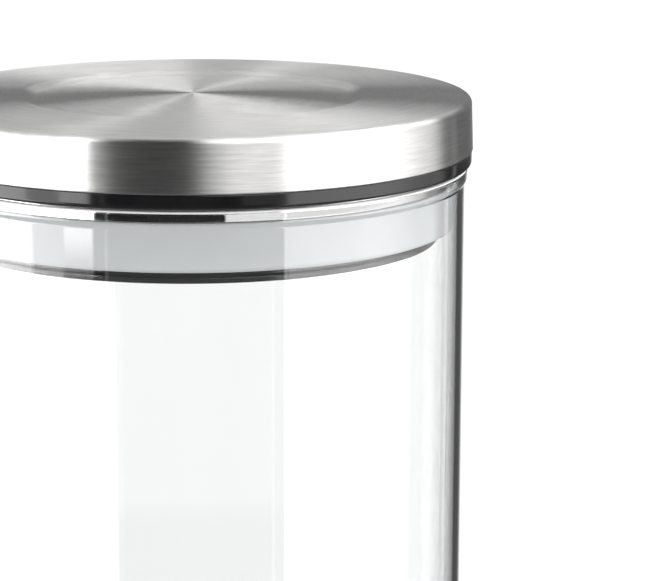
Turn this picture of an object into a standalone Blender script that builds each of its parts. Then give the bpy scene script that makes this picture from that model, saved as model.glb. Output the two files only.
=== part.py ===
"""Lidded glass canister: a clear jar closed by a push-in lid.

The lid is a pressed steel cap over a black plastic plug. A polished steel
collar and a milky silicone seal sit round the plug's neck, and a plastic base
disc closes the plug from below. Every piece is turned about the Z axis. Units
are metres, +Z is up, and the origin is the centre of the jar's underside.
"""
import math

import bpy

COLLECTION_NAME = "lidded_glass_canister"

# Driving dimensions of the jar
JAR_HEIGHT = 0.1662
JAR_RADIUS = 0.0534
JAR_WALL = 0.0013
JAR_FLOOR = 0.0060
HEEL_RADIUS = 0.0035
INNER_HEEL_RADIUS = 0.0060
RIM_RADIUS = 0.0540
RIM_TAPER = 0.0001
RIM_DEPTH = 0.0036
RIM_NECK = 0.0014

# Driving dimensions of the lid
CANISTER_HEIGHT = 0.1800
CAP_RADIUS = 0.0550
CAP_TOP_RADIUS = 0.0547
CAP_SHEET = 0.0007
CAP_SKIRT_HEIGHT = 0.0106
CAP_SHOULDER_RADIUS = 0.0012
CAP_SHOULDER_DROP = 0.0005
CAP_FLAT_RADIUS = 0.0470
CAP_HEM_RADIUS = 0.0003
DISH_RADIUS = 0.0342
DISH_DEPTH = 0.0010
DISH_WALL = 0.0030
DISH_CROWN = 0.0010

FLANGE_RADIUS = 0.0548
FLANGE_EDGE_RADIUS = 0.0008
PLUG_WALL = 0.0015
PLUG_BOTTOM_DEPTH = 0.0142
NECK_RADIUS = 0.0470
LIP_RADIUS = 0.0484
LIP_HEIGHT = 0.0007
UPSTAND_WALL = 0.0015

COLLAR_RADIUS = 0.0509
COLLAR_FOOT_RADIUS = 0.0512
COLLAR_HEIGHT = 0.0022
COLLAR_SHEET = 0.0006

SEAL_RADIUS = 0.0516
SEAL_FOOT_RADIUS = 0.0512
SEAL_BAND = 0.0014
SEAL_SKIRT = 0.0013
SEAL_BRIDGE = 0.0020
SEAL_EDGE_RADIUS = 0.0004
SEAL_FOOT_ROUND = 0.0009

BASE_RADIUS = 0.0482
BASE_THICKNESS = 0.0012
BASE_RIB_RADIUS = 0.0448
BASE_RIB_HEIGHT = 0.0030
BASE_RIB_WALL = 0.0012

# Neighbouring pieces keep this clearance
GAP = 0.0003

# Roundness: sides of every turned piece, points on a quarter arc, rings on the cap's dish
TURN_STEPS = 72
ARC_STEPS = 4
CROWN_STEPS = 4
DISH_WALL_STEPS = 4
MERGE_DISTANCE = 0.00001
SHARP_ANGLE = math.radians(35.0)

# Heights that follow from the dimensions above
FLANGE_BOTTOM = JAR_HEIGHT + GAP
SKIRT_BOTTOM = CANISTER_HEIGHT - CAP_SKIRT_HEIGHT
FLANGE_TOP = SKIRT_BOTTOM - GAP
PLUG_BOTTOM = JAR_HEIGHT - PLUG_BOTTOM_DEPTH
COLLAR_TOP = FLANGE_BOTTOM - GAP
COLLAR_BOTTOM = COLLAR_TOP - COLLAR_HEIGHT
LIP_BOTTOM = PLUG_BOTTOM + BASE_THICKNESS + GAP
LIP_TOP = LIP_BOTTOM + LIP_HEIGHT


def clear_scene():
    """Remove whatever the file holds."""
    for item in list(bpy.data.objects):
        bpy.data.objects.remove(item, do_unlink=True)


def arc(centre_r, centre_z, radius, start, end, steps=ARC_STEPS):
    """Points on an arc in the (r, z) half plane, angles in degrees from +r."""
    points = []
    for step in range(steps + 1):
        angle = math.radians(start + (end - start) * step / steps)
        points.append((centre_r + radius * math.cos(angle), centre_z + radius * math.sin(angle)))
    return points


def ease(amount):
    """A smooth step from 0 to 1."""
    return amount * amount * (3.0 - 2.0 * amount)


def material(name, colour, roughness, metallic=0.0, transmission=0.0):
    """A Principled material."""
    made = bpy.data.materials.new(name)
    made.use_nodes = True
    shader = made.node_tree.nodes["Principled BSDF"]
    shader.inputs["Base Color"].default_value = (*colour, 1.0)
    shader.inputs["Roughness"].default_value = roughness
    shader.inputs["Metallic"].default_value = metallic
    shader.inputs["Transmission Weight"].default_value = transmission
    made.diffuse_color = (*colour, 1.0)
    return made


def turned(name, profile, finish, collection, closed=False):
    """Turn a profile of (r, z) points about Z. The profile runs up the inside and down the outside."""
    count = len(profile)
    edges = [(index, index + 1) for index in range(count - 1)]
    if closed:
        edges.append((count - 1, 0))
    mesh = bpy.data.meshes.new(name)
    mesh.from_pydata([(r, 0.0, z) for r, z in profile], edges, [])
    piece = bpy.data.objects.new(name, mesh)
    collection.objects.link(piece)
    screw = piece.modifiers.new("Turn", "SCREW")
    screw.axis = "Z"
    screw.angle = math.tau
    screw.steps = TURN_STEPS
    screw.render_steps = TURN_STEPS
    screw.use_merge_vertices = True
    screw.merge_threshold = MERGE_DISTANCE
    mesh.materials.append(finish)
    settle(piece)
    return piece


def settle(piece):
    """Make the turned surface the piece's own mesh, smooth with crisp corners."""
    depsgraph = bpy.context.evaluated_depsgraph_get()
    mesh = bpy.data.meshes.new_from_object(piece.evaluated_get(depsgraph))
    profile = piece.data
    name = profile.name
    piece.modifiers.clear()
    piece.data = mesh
    bpy.data.meshes.remove(profile)
    mesh.name = name
    mesh.shade_smooth()
    mesh.set_sharp_from_angle(angle=SHARP_ANGLE)


def jar_profile():
    """The jar: a flat base, a rounded heel, a straight wall and a rim that is flared a little."""
    inner = JAR_RADIUS - JAR_WALL
    rim_round = JAR_WALL / 2.0
    rim_centre = RIM_RADIUS - rim_round
    rim_bottom = JAR_HEIGHT - RIM_DEPTH
    neck_radius = RIM_RADIUS - RIM_TAPER
    neck_top = rim_bottom + RIM_NECK
    profile = [(0.0, JAR_FLOOR)]
    profile += arc(inner - INNER_HEEL_RADIUS, JAR_FLOOR + INNER_HEEL_RADIUS, INNER_HEEL_RADIUS, -90.0, 0.0)
    profile += [(inner, rim_bottom), (neck_radius - JAR_WALL, neck_top)]
    profile += arc(rim_centre, JAR_HEIGHT - rim_round, rim_round, 180.0, 0.0, 2 * ARC_STEPS)
    profile += [(neck_radius, neck_top), (JAR_RADIUS, rim_bottom)]
    profile += arc(JAR_RADIUS - HEEL_RADIUS, HEEL_RADIUS, HEEL_RADIUS, 0.0, -90.0)
    profile += [(0.0, 0.0)]
    return profile


def cap_top_height(radius):
    """Height of the cap's upper face above the canister's base, out to the shoulder."""
    dish_foot = DISH_RADIUS - DISH_WALL
    if radius < dish_foot:
        crown = DISH_CROWN * (1.0 - (radius / dish_foot) ** 2)
        return CANISTER_HEIGHT - DISH_DEPTH + crown
    if radius < DISH_RADIUS:
        climb = ease((radius - dish_foot) / DISH_WALL)
        return CANISTER_HEIGHT - DISH_DEPTH * (1.0 - climb)
    if radius < CAP_FLAT_RADIUS:
        return CANISTER_HEIGHT
    fall = (radius - CAP_FLAT_RADIUS) / (CAP_TOP_RADIUS - CAP_FLAT_RADIUS)
    return CANISTER_HEIGHT - CAP_SHOULDER_DROP * fall * fall


def cap_profile():
    """The pressed cap: the top and shoulder, the skirt with its rounded hem, and the inner face."""
    dish_foot = DISH_RADIUS - DISH_WALL
    shoulder_r = CAP_TOP_RADIUS - CAP_SHOULDER_RADIUS
    shoulder_z = cap_top_height(shoulder_r) - CAP_SHOULDER_RADIUS
    hem_top = SKIRT_BOTTOM + CAP_HEM_RADIUS
    radii = [dish_foot * step / CROWN_STEPS for step in range(CROWN_STEPS)]
    radii += [dish_foot + DISH_WALL * step / DISH_WALL_STEPS for step in range(DISH_WALL_STEPS + 1)]
    radii += [CAP_FLAT_RADIUS, (CAP_FLAT_RADIUS + shoulder_r) / 2.0]
    top = [(radius, cap_top_height(radius)) for radius in radii]
    profile = list(top)
    profile += arc(shoulder_r, shoulder_z, CAP_SHOULDER_RADIUS, 90.0, 0.0)
    profile += [
        (CAP_RADIUS, hem_top),
        (CAP_RADIUS - CAP_HEM_RADIUS, SKIRT_BOTTOM),
        (CAP_RADIUS - CAP_SHEET + CAP_HEM_RADIUS, SKIRT_BOTTOM),
        (CAP_RADIUS - CAP_SHEET, hem_top),
    ]
    profile += arc(shoulder_r, shoulder_z, CAP_SHOULDER_RADIUS - CAP_SHEET, 0.0, 90.0)
    profile += [(radius, height - CAP_SHEET) for radius, height in reversed(top)]
    return profile


def plug_profile():
    """The plug: an upstand inside the cap, a flange on the rim, and a neck with a lip at its foot."""
    bore = NECK_RADIUS - PLUG_WALL
    upstand_outer = CAP_TOP_RADIUS - CAP_SHEET - GAP
    upstand_inner = upstand_outer - UPSTAND_WALL
    upstand_top = cap_top_height(upstand_outer) - CAP_SHEET - CAP_SHOULDER_RADIUS - GAP
    edge_r = FLANGE_RADIUS - FLANGE_EDGE_RADIUS
    profile = [
        (bore, LIP_BOTTOM),
        (bore, FLANGE_TOP),
        (upstand_inner, FLANGE_TOP),
        (upstand_inner, upstand_top),
        (upstand_outer, upstand_top),
        (upstand_outer, FLANGE_TOP),
    ]
    profile += arc(edge_r, FLANGE_TOP - FLANGE_EDGE_RADIUS, FLANGE_EDGE_RADIUS, 90.0, 0.0, 2)
    profile += arc(edge_r, FLANGE_BOTTOM + FLANGE_EDGE_RADIUS, FLANGE_EDGE_RADIUS, 0.0, -90.0, 2)
    profile += [
        (NECK_RADIUS, FLANGE_BOTTOM),
        (NECK_RADIUS, LIP_TOP),
        (LIP_RADIUS, LIP_TOP),
        (LIP_RADIUS, LIP_BOTTOM),
    ]
    return profile


def collar_profile():
    """The collar: a pressed steel ring between flange and seal, flat on top with a flared skirt."""
    bore = NECK_RADIUS + GAP
    return [
        (bore, COLLAR_TOP - COLLAR_SHEET),
        (bore, COLLAR_TOP),
        (COLLAR_RADIUS, COLLAR_TOP),
        (COLLAR_FOOT_RADIUS, COLLAR_BOTTOM),
        (COLLAR_FOOT_RADIUS - COLLAR_SHEET, COLLAR_BOTTOM),
        (COLLAR_RADIUS - COLLAR_SHEET, COLLAR_TOP - COLLAR_SHEET),
    ]


def seal_profile():
    """The seal: a band on the neck, bridged at the top to a skirt that wipes the glass."""
    band_inner = NECK_RADIUS + GAP
    band_outer = band_inner + SEAL_BAND
    top = COLLAR_BOTTOM - GAP
    foot = LIP_TOP + GAP
    foot_r = SEAL_FOOT_RADIUS - SEAL_FOOT_ROUND
    skirt_inner_top = SEAL_RADIUS - SEAL_SKIRT
    skirt_inner_foot = SEAL_FOOT_RADIUS - SEAL_SKIRT
    bridge_bottom = top - SEAL_BRIDGE
    edge = SEAL_EDGE_RADIUS
    profile = [(band_outer, foot), (band_inner, foot), (band_inner, top)]
    profile += arc(SEAL_RADIUS - edge, top - edge, edge, 90.0, 0.0, 3)
    profile += arc(foot_r, foot + SEAL_FOOT_ROUND, SEAL_FOOT_ROUND, 0.0, -90.0, 3)
    profile += [(skirt_inner_foot, foot), (skirt_inner_top, bridge_bottom), (band_outer, bridge_bottom)]
    return profile


def base_profile():
    """The base disc with an upright rib that plugs into the neck."""
    top = PLUG_BOTTOM + BASE_THICKNESS
    rib_inner = BASE_RIB_RADIUS - BASE_RIB_WALL
    return [
        (0.0, top),
        (rib_inner, top),
        (rib_inner, top + BASE_RIB_HEIGHT),
        (BASE_RIB_RADIUS, top + BASE_RIB_HEIGHT),
        (BASE_RIB_RADIUS, top),
        (BASE_RADIUS, top),
        (BASE_RADIUS, PLUG_BOTTOM),
        (0.0, PLUG_BOTTOM),
    ]


def lid_handle(collection, pieces):
    """An empty in the plane of the rim: moving it up lifts the lid's pieces together."""
    handle = bpy.data.objects.new("lid", None)
    handle.empty_display_size = CAP_RADIUS
    handle.location.z = FLANGE_BOTTOM
    collection.objects.link(handle)
    for piece in pieces:
        piece.parent = handle
        piece.location.z = -FLANGE_BOTTOM


def build():
    clear_scene()
    collection = bpy.data.collections.new(COLLECTION_NAME)
    bpy.context.scene.collection.children.link(collection)
    glass = material("clear_glass", (0.93, 0.96, 0.96), 0.02, transmission=1.0)
    steel = material("brushed_steel", (0.60, 0.59, 0.58), 0.30, metallic=1.0)
    polished = material("polished_steel", (0.62, 0.61, 0.60), 0.08, metallic=1.0)
    plastic = material("black_plastic", (0.012, 0.012, 0.014), 0.10)
    silicone = material("milky_silicone", (0.74, 0.76, 0.78), 0.42)
    turned("glass_jar", jar_profile(), glass, collection)
    cap = turned("lid_cap", cap_profile(), steel, collection)
    plug = turned("lid_plug", plug_profile(), plastic, collection, closed=True)
    base = turned("plug_base_disc", base_profile(), plastic, collection)
    collar = turned("plug_collar", collar_profile(), polished, collection, closed=True)
    seal = turned("seal_sleeve", seal_profile(), silicone, collection, closed=True)
    lid_handle(collection, [cap, plug, base, collar, seal])


build()
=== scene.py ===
"""Looks of the lidded glass canister: finely turned pieces, procedural materials, studio light, camera."""

import math

import bpy
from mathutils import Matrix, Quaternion, Vector


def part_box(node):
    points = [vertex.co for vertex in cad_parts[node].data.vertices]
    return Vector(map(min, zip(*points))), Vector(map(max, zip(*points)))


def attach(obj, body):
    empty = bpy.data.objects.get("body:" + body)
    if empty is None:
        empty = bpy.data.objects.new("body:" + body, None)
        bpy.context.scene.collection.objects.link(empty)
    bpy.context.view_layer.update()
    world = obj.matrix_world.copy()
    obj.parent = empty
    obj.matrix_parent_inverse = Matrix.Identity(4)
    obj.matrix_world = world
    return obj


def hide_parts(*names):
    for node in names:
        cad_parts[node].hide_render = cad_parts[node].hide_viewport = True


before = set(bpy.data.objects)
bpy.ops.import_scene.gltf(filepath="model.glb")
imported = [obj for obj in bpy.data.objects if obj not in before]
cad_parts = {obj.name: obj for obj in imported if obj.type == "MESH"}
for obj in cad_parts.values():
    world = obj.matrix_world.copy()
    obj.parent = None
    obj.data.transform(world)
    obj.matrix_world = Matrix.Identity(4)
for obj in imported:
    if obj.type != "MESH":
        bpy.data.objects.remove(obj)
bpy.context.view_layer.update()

# Lengths are in metres.

# Camera: a long lens a little above the lid, turned slightly to the right of the canister's axis.
# The lens and its sensor are in millimetres, the angles in radians.
LENS = 147.8
SENSOR_WIDTH = 36.0
CAMERA_DISTANCE = 0.5207
CAMERA_ABOVE_SKIRT = 0.0846
CAMERA_PITCH = 0.2153
CAMERA_YAW = 0.0499
CAMERA_ROLL = 0.0026

# Floor
FLOOR_HALF_WIDTH = 6.0
FLOOR_DROP = 0.0003

# Roundness of the fine meshes
TURN_STEPS = 320
ARC_STEPS = 10
EDGE_STEPS = 4
DISC_EDGE_STEPS = 6
DISH_FLOOR_STEPS = 12
DISH_WALL_STEPS = 14
CAP_RIM_STEPS = 8
MERGE_DISTANCE = 1e-6
SHARP_ANGLE = math.radians(40.0)

# A long straight line gets a point this close to each end, so that smooth shading keeps it flat
HOLD = 0.0001
LONG_LINE = 4.0 * HOLD

# Shape of the jar, beyond what its CAD box gives
JAR_WALL = 0.0013
JAR_FLOOR = 0.0060
HEEL_RADIUS = 0.0035
INNER_HEEL_RADIUS = 0.0060
RIM_BULGE = 0.0006
RIM_TAPER = 0.0001
RIM_DEPTH = 0.0036
RIM_NECK = 0.0014
# A light grey band painted round the top of the rim as a painted highlight: its height, and the height it
# fades in over
RIM_HIGHLIGHT_BAND = 0.0004
RIM_HIGHLIGHT_FADE = 0.00008

# Shape of the lid's pieces, beyond what their CAD boxes give
CAP_TAPER = 0.0003
CAP_SHEET = 0.0007
CAP_SHOULDER_RADIUS = 0.0012
CAP_SHOULDER_DROP = 0.0005
CAP_FLAT_RADIUS = 0.0470
CAP_HEM_RADIUS = 0.0003
DISH_RADIUS = 0.0342
DISH_DEPTH = 0.0010
DISH_WALL = 0.0030
DISH_CROWN = 0.0010
FLANGE_EDGE_RADIUS = 0.0008
PLUG_WALL = 0.0015
NECK_RADIUS = 0.0470
COLLAR_TAPER = 0.0003
COLLAR_SHEET = 0.0006
LIP_RADIUS = 0.0484
LIP_HEIGHT = 0.0007
UPSTAND_WALL = 0.0015
SEAL_TAPER = 0.0004
SEAL_BAND = 0.0014
SEAL_SKIRT = 0.0013
SEAL_BRIDGE = 0.0020
SEAL_EDGE_RADIUS = 0.0004
SEAL_FOOT_ROUND = 0.0009
BASE_THICKNESS = 0.0012
BASE_RIB_RADIUS = 0.0448
BASE_RIB_WALL = 0.0012
EDGE_RADIUS = 0.00015

# Gaps between pieces that lie against each other, and between pieces that only nearly do
HEM_GAP = 0.00006
GAP = 0.0003

# The least distance from the axis in the materials, so that nothing is divided by zero there
NEAR_AXIS = 1e-5

# Grain of the materials: line spacings in metres, noise scales in cells per metre
BRUSH_COARSE = 0.00045
BRUSH_FINE = 0.00014
DRAWING_LINES = 0.0003
SILICONE_FLOW = 0.0030
GLASS_WAVES = 22.0
PLASTIC_PEEL = 900.0
PLASTIC_MARKS = 160.0
SILICONE_DUST = 1400.0
FLOOR_CLOUDS = 3.0

# The middle of a noise's range that is spread over a tint, and over a roughness
TINT_SPREAD = (0.35, 0.65)
GLOSS_SPREAD = (0.3, 0.7)

# Sockets of the colour Mix node, which share their names with its other sockets
MIX_FIRST = 6
MIX_SECOND = 7
MIX_RESULT = 2

# Panels of the studio, painted over each other in this order. Azimuth is measured round the
# canister from the camera's side, positive to its right; angles are in degrees.
# (azimuth from, azimuth to, softness, elevation from, elevation to, softness, brightness)
STUDIO_PANELS = {
    "right wall": (40.0, 124.0, 4.0, -90.0, 0.0, 3.0, 0.9),
    "right softbox": (0.0, 95.0, 20.0, -90.0, 0.0, 3.0, 2.9),
    "right glow": (13.0, 40.0, 0.8, -4.0, 12.0, 3.0, 1.4),
    "right wall above": (40.0, 114.0, 3.0, 0.0, 12.0, 3.0, 0.9),
    "high softbox": (-10.0, 122.0, 7.0, 12.0, 60.0, 4.0, 3.8),
    "overhead": (-200.0, 200.0, 1.0, 75.0, 95.0, 5.0, 1.4),
    "back light": (110.0, 250.0, 10.0, 52.0, 95.0, 8.0, 1.2),
    "dark room ahead": (-42.4, 38.7, 1.0, -90.0, -3.0, 3.0, 0.02),
    "dark room left": (-42.4, -10.0, 0.8, -4.0, 75.0, 5.0, 0.02),
    "dark room right": (-20.0, 5.0, 7.0, -4.0, 75.0, 5.0, 0.02),
    "dark room middle": (-20.0, 13.0, 0.6, -5.0, 11.0, 2.0, 0.03),
    "dim room": (19.0, 38.7, 1.0, -10.9, -4.0, 0.4, 0.6),
    "room floor": (-42.4, 38.7, 1.0, -17.0, -11.7, 0.4, 0.35),
    "left return": (-43.0, -36.0, 0.6, 10.0, 60.0, 4.0, 0.8),
    "left return foot": (-42.4, -36.3, 0.6, -90.0, -4.0, 4.0, 0.15),
    "left seam": (-37.1, -36.1, 0.3, -90.0, 0.0, 2.0, 1.0),
    "right seam": (37.5, 38.7, 0.3, -90.0, 0.0, 2.0, 3.2),
    "far left wall": (-114.0, -70.0, 1.5, -90.0, 10.0, 4.0, 5.5),
    "left wall": (-70.0, -55.4, 1.0, -90.0, 40.0, 4.0, 3.0),
    "left strip": (-55.4, -42.4, 0.5, -11.8, -4.0, 0.9, 5.6),
    "left strip above": (-55.4, -43.0, 0.5, -4.0, 40.0, 0.8, 5.6),
    "left strip foot": (-55.4, -42.4, 0.5, -90.0, -11.8, 0.9, 0.5),
    "left flag": (-165.0, -116.0, 3.0, -90.0, 16.0, 3.0, 0.08),
    "right flag": (123.0, 165.0, 5.0, -90.0, 16.0, 3.0, 0.08),
    "right gap": (132.8, 135.2, 0.6, -90.0, 10.0, 3.0, 0.9),
    "horizon behind": (118.0, 242.0, 4.0, -8.0, 16.0, 3.0, 0.24),
    "table": (-200.0, 200.0, 1.0, -90.0, -38.0, 4.0, 0.32),
}
# Brightness of the studio between the panels, and of the backdrop that the camera looks at
STUDIO_BASE = 0.75
BACKGROUND = 1.05


def turned_size(node):
    """Outer radius, lowest height and highest height of a turned CAD node."""
    low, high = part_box(node)
    return (high.x - low.x) / 2.0, low.z, high.z


rim_radius, jar_bottom, jar_height = turned_size("glass_jar")
cap_radius, skirt_bottom, canister_height = turned_size("lid_cap")
flange_radius, lip_bottom, upstand_top = turned_size("lid_plug")
seal_radius, seal_foot, seal_top = turned_size("seal_sleeve")
base_radius, plug_bottom, rib_top = turned_size("plug_base_disc")
collar_foot_radius, _, collar_top = turned_size("plug_collar")
jar_radius = rim_radius - RIM_BULGE
cap_top_radius = cap_radius - CAP_TAPER
flange_bottom = jar_height + GAP
flange_top = skirt_bottom - HEM_GAP
collar_bottom = seal_top + HEM_GAP


# ------------------------------------------------------------------ shapes


def arc(centre_r, centre_z, radius, start, end, steps=ARC_STEPS):
    """Points on an arc in the (r, z) half plane, angles in degrees from +r."""
    points = []
    for step in range(steps + 1):
        angle = math.radians(start + (end - start) * step / steps)
        points.append((centre_r + radius * math.cos(angle), centre_z + radius * math.sin(angle)))
    return points


def upper_edge(radius, top, rounding, steps=ARC_STEPS):
    """A piece's rounded outer edge at its top."""
    return arc(radius - rounding, top - rounding, rounding, 90.0, 0.0, steps)


def lower_edge(radius, bottom, rounding, steps=ARC_STEPS):
    """A piece's rounded outer edge at its foot."""
    return arc(radius - rounding, bottom + rounding, rounding, 0.0, -90.0, steps)


def ease(amount):
    """A smooth step from 0 to 1."""
    return amount * amount * (3.0 - 2.0 * amount)


def spaced(start, end, steps):
    """Evenly spaced values from start to end, both included."""
    return [start + (end - start) * step / steps for step in range(steps + 1)]


def jar_profile():
    """The jar: a flat base, a rounded heel, a straight wall and a rim flared over a short neck."""
    inner = jar_radius - JAR_WALL
    rim_round = JAR_WALL / 2.0
    rim_bottom = jar_height - RIM_DEPTH
    neck = []
    for share in spaced(0.0, 1.0, ARC_STEPS):
        step_in = RIM_TAPER + (RIM_BULGE - RIM_TAPER) * ease(share)
        neck.append((rim_radius - step_in, rim_bottom + RIM_NECK * (1.0 - share)))
    profile = [(0.0, JAR_FLOOR)]
    profile += arc(inner - INNER_HEEL_RADIUS, JAR_FLOOR + INNER_HEEL_RADIUS, INNER_HEEL_RADIUS, -90.0, 0.0)
    profile += [(radius - JAR_WALL, height) for radius, height in reversed(neck)]
    profile += arc(rim_radius - rim_round, jar_height - rim_round, rim_round, 180.0, 0.0, 2 * ARC_STEPS)
    profile += neck
    profile += lower_edge(jar_radius, jar_bottom, HEEL_RADIUS)
    profile += [(0.0, jar_bottom)]
    return profile


def cap_top_height(radius):
    """Height of the cap's upper face above the canister's base, out to the shoulder."""
    dish_foot = DISH_RADIUS - DISH_WALL
    if radius < dish_foot:
        crown = DISH_CROWN * (1.0 - (radius / dish_foot) ** 2)
        return canister_height - DISH_DEPTH + crown
    if radius < DISH_RADIUS:
        climb = ease((radius - dish_foot) / DISH_WALL)
        return canister_height - DISH_DEPTH * (1.0 - climb)
    if radius < CAP_FLAT_RADIUS:
        return canister_height
    fall = (radius - CAP_FLAT_RADIUS) / (cap_top_radius - CAP_FLAT_RADIUS)
    return canister_height - CAP_SHOULDER_DROP * fall * fall


def cap_profile():
    """The pressed cap: the top, the shoulder, the skirt with its rounded hem, and the inner face."""
    dish_foot = DISH_RADIUS - DISH_WALL
    shoulder_r = cap_top_radius - CAP_SHOULDER_RADIUS
    shoulder_z = cap_top_height(shoulder_r) - CAP_SHOULDER_RADIUS
    hem_z = skirt_bottom + CAP_HEM_RADIUS
    radii = spaced(0.0, dish_foot, DISH_FLOOR_STEPS)[:-1]
    radii += spaced(dish_foot, DISH_RADIUS, DISH_WALL_STEPS)
    radii += spaced(CAP_FLAT_RADIUS, shoulder_r, CAP_RIM_STEPS)[:-1]
    top = [(radius, cap_top_height(radius)) for radius in radii]
    profile = list(top)
    profile += arc(shoulder_r, shoulder_z, CAP_SHOULDER_RADIUS, 90.0, 0.0)
    profile += lower_edge(cap_radius, skirt_bottom, CAP_HEM_RADIUS)
    profile += arc(cap_radius - CAP_SHEET + CAP_HEM_RADIUS, hem_z, CAP_HEM_RADIUS, -90.0, -180.0)
    profile += arc(shoulder_r, shoulder_z, CAP_SHOULDER_RADIUS - CAP_SHEET, 0.0, 90.0)
    profile += [(radius, height - CAP_SHEET) for radius, height in reversed(top)]
    return profile


def plug_profile():
    """The plug: an upstand inside the cap, a flange on the rim, and a neck with a lip at its foot."""
    bore = NECK_RADIUS - PLUG_WALL
    upstand_outer = cap_top_radius - CAP_SHEET - GAP
    upstand_inner = upstand_outer - UPSTAND_WALL
    lip_top = lip_bottom + LIP_HEIGHT
    profile = [
        (bore, lip_bottom),
        (bore, flange_top),
        (upstand_inner, flange_top),
        (upstand_inner, upstand_top),
        (upstand_outer, upstand_top),
        (upstand_outer, flange_top),
    ]
    profile += upper_edge(flange_radius, flange_top, EDGE_RADIUS, EDGE_STEPS)
    profile += lower_edge(flange_radius, flange_bottom, FLANGE_EDGE_RADIUS)
    profile += [(NECK_RADIUS, flange_bottom), (NECK_RADIUS, lip_top)]
    profile += upper_edge(LIP_RADIUS, lip_top, EDGE_RADIUS, EDGE_STEPS)
    profile += lower_edge(LIP_RADIUS, lip_bottom, EDGE_RADIUS, EDGE_STEPS)
    return profile


def collar_profile():
    """The collar: a pressed steel ring, flat on top with a flared skirt and rolled edges."""
    bore = NECK_RADIUS + GAP
    top_radius = collar_foot_radius - COLLAR_TAPER
    profile = [(bore, collar_top - COLLAR_SHEET), (bore, collar_top)]
    profile += upper_edge(top_radius, collar_top, EDGE_RADIUS, EDGE_STEPS)
    profile += lower_edge(collar_foot_radius, collar_bottom, EDGE_RADIUS, EDGE_STEPS)
    profile += [
        (collar_foot_radius - COLLAR_SHEET, collar_bottom),
        (top_radius - COLLAR_SHEET, collar_top - COLLAR_SHEET),
    ]
    return profile


def seal_profile():
    """The seal: a band on the neck, bridged at the top to a skirt that wipes the glass."""
    band_inner = NECK_RADIUS + GAP
    band_outer = band_inner + SEAL_BAND
    foot_radius = seal_radius - SEAL_TAPER
    bridge_bottom = seal_top - SEAL_BRIDGE
    profile = [(band_outer, seal_foot), (band_inner, seal_foot), (band_inner, seal_top)]
    profile += upper_edge(seal_radius, seal_top, SEAL_EDGE_RADIUS)
    profile += lower_edge(foot_radius, seal_foot, SEAL_FOOT_ROUND)
    profile += [(foot_radius - SEAL_SKIRT, seal_foot)]
    profile += [(seal_radius - SEAL_SKIRT, bridge_bottom), (band_outer, bridge_bottom)]
    return profile


def base_profile():
    """The base disc with an upright rib that plugs into the neck."""
    top = plug_bottom + BASE_THICKNESS
    rib_inner = BASE_RIB_RADIUS - BASE_RIB_WALL
    rounding = 2.0 * EDGE_RADIUS
    profile = [(0.0, top), (rib_inner, top), (rib_inner, rib_top)]
    profile += [(BASE_RIB_RADIUS, rib_top), (BASE_RIB_RADIUS, top)]
    profile += upper_edge(base_radius, top, rounding, DISC_EDGE_STEPS)
    profile += lower_edge(base_radius, plug_bottom, rounding, DISC_EDGE_STEPS)
    profile += [(0.0, plug_bottom)]
    return profile


def held(profile, closed):
    """The profile with a point close to each end of its long straight lines, which keeps them flat."""
    points = []
    ends = profile[1:] + [profile[0] if closed else None]
    for start, end in zip(profile, ends):
        points.append(start)
        if end is None:
            continue
        length = math.dist(start, end)
        if length > LONG_LINE:
            for share in (HOLD / length, 1.0 - HOLD / length):
                points.append(tuple(a + (b - a) * share for a, b in zip(start, end)))
    return points


def turned(name, outline_points, closed=False):
    """Turn a profile of (r, z) points about Z. It runs up the inside and down the outside."""
    profile = held(outline_points, closed)
    count = len(profile)
    edges = [(index, index + 1) for index in range(count - 1)]
    if closed:
        edges.append((count - 1, 0))
    outline = bpy.data.meshes.new(name + "_outline")
    outline.from_pydata([(r, 0.0, z) for r, z in profile], edges, [])
    piece = bpy.data.objects.new(name, outline)
    bpy.context.scene.collection.objects.link(piece)
    screw = piece.modifiers.new("Turn", "SCREW")
    screw.axis = "Z"
    screw.angle = math.tau
    screw.steps = TURN_STEPS
    screw.render_steps = TURN_STEPS
    screw.use_merge_vertices = True
    screw.merge_threshold = MERGE_DISTANCE
    depsgraph = bpy.context.evaluated_depsgraph_get()
    mesh = bpy.data.meshes.new_from_object(piece.evaluated_get(depsgraph))
    piece.modifiers.clear()
    piece.data = mesh
    bpy.data.meshes.remove(outline)
    mesh.name = name
    mesh.shade_smooth()
    mesh.set_sharp_from_angle(angle=SHARP_ANGLE)
    return piece


def stand_in(piece, finish, body, node):
    """The piece takes its finish, rides on its body and stands for a CAD node."""
    piece.data.materials.clear()
    piece.data.materials.append(finish)
    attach(piece, body)
    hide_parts(node)


# ------------------------------------------------------------------ shader nodes


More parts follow.
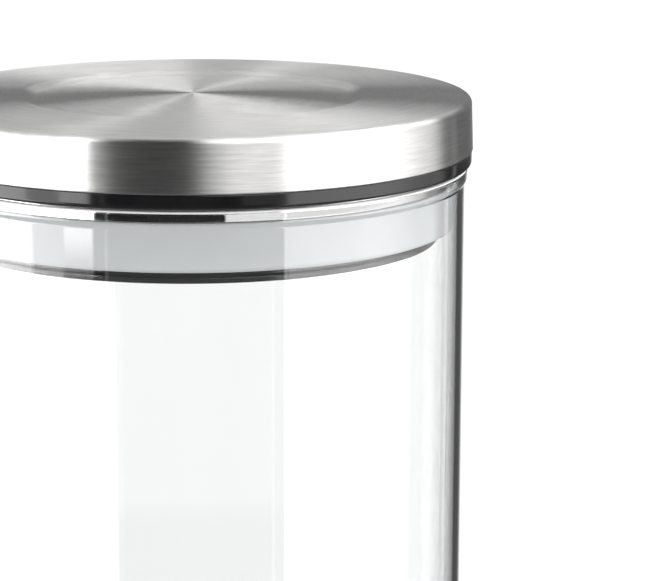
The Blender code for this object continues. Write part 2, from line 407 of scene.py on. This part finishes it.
class Nodes:
    """Adds nodes to one node tree. A socket value is a number, a colour, or another node's output."""

    def __init__(self, tree):
        self.tree = tree
        tree.nodes.clear()

    def add(self, kind, inputs=(), **settings):
        """A new node with its inputs filled and its settings made."""
        node = self.tree.nodes.new(kind)
        for name, value in settings.items():
            setattr(node, name, value)
        for name, value in dict(inputs).items():
            self.put(node.inputs[name], value)
        return node

    def put(self, socket, value):
        """Link an output to the socket, or set its value."""
        if isinstance(value, bpy.types.NodeSocket):
            self.tree.links.new(value, socket)
        else:
            socket.default_value = value

    def math(self, operation, first, second=0.0, third=0.0):
        """The result of one Math operation."""
        node = self.add("ShaderNodeMath", operation=operation)
        for socket, value in zip(node.inputs, (first, second, third)):
            self.put(socket, value)
        return node.outputs[0]

    def ramp(self, value, low, high, start=0.0, end=1.0, smooth=False):
        """The value's range from low to high, mapped to start to end and held there."""
        kind = "SMOOTHSTEP" if smooth else "LINEAR"
        inputs = {"Value": value, "From Min": low, "From Max": high, "To Min": start, "To Max": end}
        return self.add("ShaderNodeMapRange", inputs, interpolation_type=kind, clamp=True).outputs["Result"]

    def blend(self, share, first, second):
        """A colour between the first and the second."""
        node = self.add("ShaderNodeMix", data_type="RGBA")
        self.put(node.inputs["Factor"], share)
        self.put(node.inputs[MIX_FIRST], first)
        self.put(node.inputs[MIX_SECOND], second)
        return node.outputs[MIX_RESULT]

    def either(self, share, first, second):
        """A shader between the first and the second shader node."""
        node = self.add("ShaderNodeMixShader", {"Fac": share})
        self.put(node.inputs[1], first.outputs[0])
        self.put(node.inputs[2], second.outputs[0])
        return node

    def noise(self, vector, scale, detail=2.0):
        """Noise with this many cells to one unit of the vector."""
        inputs = {"Vector": vector, "Scale": scale, "Detail": detail, "Roughness": 0.5}
        return self.add("ShaderNodeTexNoise", inputs).outputs["Fac"]

    def place(self):
        """The place on the piece, in metres."""
        return self.add("ShaderNodeTexCoord").outputs["Object"]


def grey(level):
    """An opaque grey."""
    return (level, level, level, 1.0)


def new_material(name):
    """An empty material and the helper that fills it."""
    finish = bpy.data.materials.new(name)
    finish.use_nodes = True
    return finish, Nodes(finish.node_tree)


def turning_coordinates(nodes):
    """Radius, height, and the cosine and sine of the angle round the Z axis."""
    axes = nodes.add("ShaderNodeSeparateXYZ", {"Vector": nodes.place()}).outputs
    x, y, z = axes["X"], axes["Y"], axes["Z"]
    square = nodes.math("MULTIPLY_ADD", x, x, nodes.math("MULTIPLY", y, y))
    radius = nodes.math("SQRT", nodes.math("ADD", square, NEAR_AXIS ** 2))
    return radius, z, nodes.math("DIVIDE", x, radius), nodes.math("DIVIDE", y, radius)


def streaks(nodes, across, cosine, sine, spacing, turns):
    """Noise drawn out round the axis: across is the coordinate that crosses the lines."""
    vector = nodes.add("ShaderNodeCombineXYZ", {
        "X": nodes.math("MULTIPLY", cosine, turns),
        "Y": nodes.math("MULTIPLY", sine, turns),
        "Z": nodes.math("DIVIDE", across, spacing),
    }).outputs[0]
    return nodes.noise(vector, 1.0, 3.0)


# ------------------------------------------------------------------ materials


def brushed_steel():
    """Stainless steel with a circular satin brush on the top and round the skirt."""
    finish, nodes = new_material("brushed_steel")
    radius, height, cosine, sine = turning_coordinates(nodes)
    across = nodes.math("ADD", radius, height)
    coarse = streaks(nodes, across, cosine, sine, BRUSH_COARSE, 5.0)
    fine = streaks(nodes, across, cosine, sine, BRUSH_FINE, 12.0)
    lines = nodes.math("ADD", nodes.math("MULTIPLY", coarse, 0.55), nodes.math("MULTIPLY", fine, 0.45))
    tint = nodes.blend(nodes.ramp(lines, *TINT_SPREAD), (0.50, 0.495, 0.49, 1.0), (0.66, 0.655, 0.65, 1.0))
    bump = nodes.add("ShaderNodeBump", {"Strength": 0.35, "Distance": 0.00002, "Height": lines})
    tangent = nodes.add("ShaderNodeTangent", direction_type="RADIAL", axis="Z")
    shader = nodes.add("ShaderNodeBsdfPrincipled", {
        "Base Color": tint,
        "Metallic": 1.0,
        "Roughness": nodes.ramp(lines, *GLOSS_SPREAD, 0.28, 0.34),
        "Anisotropic": 1.0,
        "Anisotropic Rotation": 0.25,
        "Tangent": tangent.outputs[0],
        "Normal": bump.outputs[0],
    })
    nodes.add("ShaderNodeOutputMaterial", {"Surface": shader.outputs[0]})
    return finish


def polished_steel():
    """Bright polished stainless steel with faint drawing lines round the axis."""
    finish, nodes = new_material("polished_steel")
    _, height, cosine, sine = turning_coordinates(nodes)
    lines = streaks(nodes, height, cosine, sine, DRAWING_LINES, 4.0)
    tint = nodes.blend(nodes.ramp(lines, *TINT_SPREAD), (0.60, 0.595, 0.59, 1.0), (0.66, 0.655, 0.65, 1.0))
    bump = nodes.add("ShaderNodeBump", {"Strength": 0.1, "Distance": 0.00001, "Height": lines})
    shader = nodes.add("ShaderNodeBsdfPrincipled", {
        "Base Color": tint,
        "Metallic": 1.0,
        "Roughness": nodes.ramp(lines, *GLOSS_SPREAD, 0.02, 0.05),
        "Normal": bump.outputs[0],
    })
    nodes.add("ShaderNodeOutputMaterial", {"Surface": shader.outputs[0]})
    return finish


def clear_glass():
    """Clear glass with a faint cool cast and the slow waviness of a blown wall, with a light grey band
    painted round the top of the rim as a painted highlight.
    """
    finish, nodes = new_material("clear_glass")
    waves = nodes.noise(nodes.place(), GLASS_WAVES, 1.0)
    tint = nodes.blend(waves, (0.985, 0.992, 0.992, 1.0), (0.992, 0.996, 0.996, 1.0))
    bump = nodes.add("ShaderNodeBump", {"Strength": 0.2, "Distance": 0.00003, "Height": waves})
    glass = nodes.add("ShaderNodeBsdfPrincipled", {
        "Base Color": tint,
        "Roughness": 0.0,
        "IOR": 1.5,
        "Transmission Weight": 1.0,
        "Normal": bump.outputs[0],
    })
    # Painted highlight: a light grey rough band round the top of the rim, which shows as a bright line
    # along the rim
    rim_highlight = nodes.add("ShaderNodeBsdfPrincipled", {
        "Base Color": nodes.blend(waves, grey(0.80), grey(0.86)),
        "Roughness": 0.6,
    })
    height = nodes.add("ShaderNodeSeparateXYZ", {"Vector": nodes.place()}).outputs["Z"]
    highlight_from = jar_height - RIM_HIGHLIGHT_BAND
    rim_highlight_share = nodes.ramp(height, highlight_from, highlight_from + RIM_HIGHLIGHT_FADE)
    body = nodes.either(rim_highlight_share, glass, rim_highlight)
    open_way = nodes.add("ShaderNodeBsdfTransparent", {"Color": (0.93, 0.94, 0.94, 1.0)})
    path = nodes.add("ShaderNodeLightPath")
    lets_light_in = nodes.math("MAXIMUM", path.outputs["Is Shadow Ray"], path.outputs["Is Diffuse Ray"])
    mixed = nodes.either(lets_light_in, body, open_way)
    nodes.add("ShaderNodeOutputMaterial", {"Surface": mixed.outputs[0]})
    return finish


def black_plastic():
    """Glossy black injection-moulded plastic with a faint orange peel."""
    finish, nodes = new_material("black_plastic")
    peel = nodes.noise(nodes.place(), PLASTIC_PEEL)
    marks = nodes.noise(nodes.place(), PLASTIC_MARKS, 4.0)
    tint = nodes.blend(marks, (0.004, 0.004, 0.0045, 1.0), (0.008, 0.008, 0.009, 1.0))
    bump = nodes.add("ShaderNodeBump", {"Strength": 0.08, "Distance": 0.00003, "Height": peel})
    shader = nodes.add("ShaderNodeBsdfPrincipled", {
        "Base Color": tint,
        "Roughness": nodes.ramp(marks, *GLOSS_SPREAD, 0.08, 0.14),
        "Normal": bump.outputs[0],
    })
    nodes.add("ShaderNodeOutputMaterial", {"Surface": shader.outputs[0]})
    return finish


def milky_silicone():
    """Milky translucent silicone with faint moulding streaks."""
    finish, nodes = new_material("milky_silicone")
    _, height, cosine, sine = turning_coordinates(nodes)
    flow = streaks(nodes, height, cosine, sine, SILICONE_FLOW, 9.0)
    dust = nodes.noise(nodes.place(), SILICONE_DUST)
    tint = nodes.blend(flow, (0.46, 0.463, 0.470, 1.0), (0.50, 0.503, 0.51, 1.0))
    bump = nodes.add("ShaderNodeBump", {"Strength": 0.05, "Distance": 0.00001, "Height": dust})
    shader = nodes.add("ShaderNodeBsdfPrincipled", {
        "Base Color": tint,
        "Roughness": nodes.ramp(dust, *GLOSS_SPREAD, 0.40, 0.50),
        "IOR": 1.41,
        "Subsurface Weight": 0.25,
        "Subsurface Radius": (1.0, 1.0, 1.0),
        "Subsurface Scale": 0.002,
        "Normal": bump.outputs[0],
    })
    nodes.add("ShaderNodeOutputMaterial", {"Surface": shader.outputs[0]})
    return finish


def pale_floor():
    """A white table top, mostly self-lit so that it stays even behind the glass.

    Reflections pass through it, also those that leave through the glass, and show the studio.
    """
    finish, nodes = new_material("pale_floor")
    cloud = nodes.noise(nodes.place(), FLOOR_CLOUDS)
    surface = nodes.add("ShaderNodeBsdfDiffuse", {"Color": nodes.blend(cloud, grey(0.38), grey(0.40))})
    glow = nodes.add("ShaderNodeEmission", {"Color": grey(1.0), "Strength": 0.45})
    both = nodes.add("ShaderNodeAddShader")
    nodes.put(both.inputs[0], surface.outputs[0])
    nodes.put(both.inputs[1], glow.outputs[0])
    reflected = nodes.math("GREATER_THAN", nodes.add("ShaderNodeLightPath").outputs["Glossy Depth"], 0.5)
    shown = nodes.either(reflected, both, nodes.add("ShaderNodeBsdfTransparent"))
    nodes.add("ShaderNodeOutputMaterial", {"Surface": shown.outputs[0]})
    return finish


# ------------------------------------------------------------------ studio


def panel_share(nodes, value, start, end, softness):
    """1 between start and end, fading to 0 over twice the softness."""
    centre = (start + end) / 2.0
    half = (end - start) / 2.0
    offset = nodes.math("ABSOLUTE", nodes.math("SUBTRACT", value, centre))
    return nodes.ramp(offset, half - softness, half + softness, 1.0, 0.0, smooth=True)


def azimuth_share(nodes, azimuth, start, end, softness):
    """Like panel_share, for an angle that wraps round at 180 degrees."""
    centre = (start + end) / 2.0
    turned_back = nodes.math("WRAP", nodes.math("SUBTRACT", azimuth, centre), 180.0, -180.0)
    return panel_share(nodes, turned_back, start - centre, end - centre, softness)


def build_world():
    """The studio all round the canister, seen in reflections and as light, in front of a white backdrop."""
    world = bpy.data.worlds.new("studio")
    bpy.context.scene.world = world
    world.use_nodes = True
    nodes = Nodes(world.node_tree)
    direction = nodes.add("ShaderNodeTexCoord").outputs["Generated"]
    axes = nodes.add("ShaderNodeSeparateXYZ", {"Vector": direction}).outputs
    toward_camera = nodes.math("MULTIPLY", axes["Y"], -1.0)
    azimuth = nodes.math("DEGREES", nodes.math("ARCTAN2", axes["X"], toward_camera))
    elevation = nodes.math("DEGREES", nodes.math("ARCSINE", axes["Z"]))
    level = STUDIO_BASE
    for start, end, side_softness, low, high, softness, brightness in STUDIO_PANELS.values():
        share = nodes.math(
            "MULTIPLY",
            azimuth_share(nodes, azimuth, start, end, side_softness),
            panel_share(nodes, elevation, low, high, softness),
        )
        gain = nodes.math("SUBTRACT", brightness, level)
        level = nodes.math("MULTIPLY_ADD", share, gain, level)
    path = nodes.add("ShaderNodeLightPath")
    unreflected = nodes.math("LESS_THAN", path.outputs["Glossy Depth"], 0.5)
    straight = nodes.math("MULTIPLY", path.outputs["Is Transmission Ray"], unreflected)
    looked_at = nodes.math("MAXIMUM", path.outputs["Is Camera Ray"], straight)
    gain = nodes.math("SUBTRACT", BACKGROUND, level)
    level = nodes.math("MULTIPLY_ADD", looked_at, gain, level)
    background = nodes.add("ShaderNodeBackground", {"Color": grey(1.0), "Strength": level})
    nodes.add("ShaderNodeOutputWorld", {"Surface": background.outputs[0]})


def build_floor():
    """A pale table top, left out of reflections, which show the studio instead."""
    edge = FLOOR_HALF_WIDTH
    mesh = bpy.data.meshes.new("floor")
    corners = [(-edge, -edge, -FLOOR_DROP), (edge, -edge, -FLOOR_DROP)]
    corners += [(edge, edge, -FLOOR_DROP), (-edge, edge, -FLOOR_DROP)]
    mesh.from_pydata(corners, [], [(0, 1, 2, 3)])
    mesh.materials.append(pale_floor())
    floor = bpy.data.objects.new("floor", mesh)
    bpy.context.scene.collection.objects.link(floor)


def build_camera():
    """The camera, in front of the canister and a little above it."""
    lens = bpy.data.cameras.new("camera")
    lens.lens = LENS
    lens.sensor_width = SENSOR_WIDTH
    lens.clip_start = 0.01
    lens.clip_end = 20.0
    camera = bpy.data.objects.new("camera", lens)
    bpy.context.scene.collection.objects.link(camera)
    camera.location = (0.0, -CAMERA_DISTANCE, skirt_bottom + CAMERA_ABOVE_SKIRT)
    level = math.cos(CAMERA_PITCH)
    aim = Vector((math.sin(CAMERA_YAW) * level, math.cos(CAMERA_YAW) * level, -math.sin(CAMERA_PITCH)))
    camera.rotation_mode = "QUATERNION"
    camera.rotation_quaternion = aim.to_track_quat("-Z", "Y") @ Quaternion((0.0, 0.0, 1.0), CAMERA_ROLL)
    bpy.context.scene.camera = camera


# ------------------------------------------------------------------ scene

steel = brushed_steel()
plastic = black_plastic()
stand_in(turned("jar_glass", jar_profile()), clear_glass(), "jar", "glass_jar")
stand_in(turned("cap_steel", cap_profile()), steel, "lid", "lid_cap")
stand_in(turned("plug_plastic", plug_profile(), closed=True), plastic, "lid", "lid_plug")
stand_in(turned("base_plastic", base_profile()), plastic, "lid", "plug_base_disc")
stand_in(turned("collar_steel", collar_profile(), closed=True), polished_steel(), "lid", "plug_collar")
stand_in(turned("seal_silicone", seal_profile(), closed=True), milky_silicone(), "seal", "seal_sleeve")

build_world()
build_floor()
build_camera()
bpy.context.scene.view_settings.view_transform = "Standard"
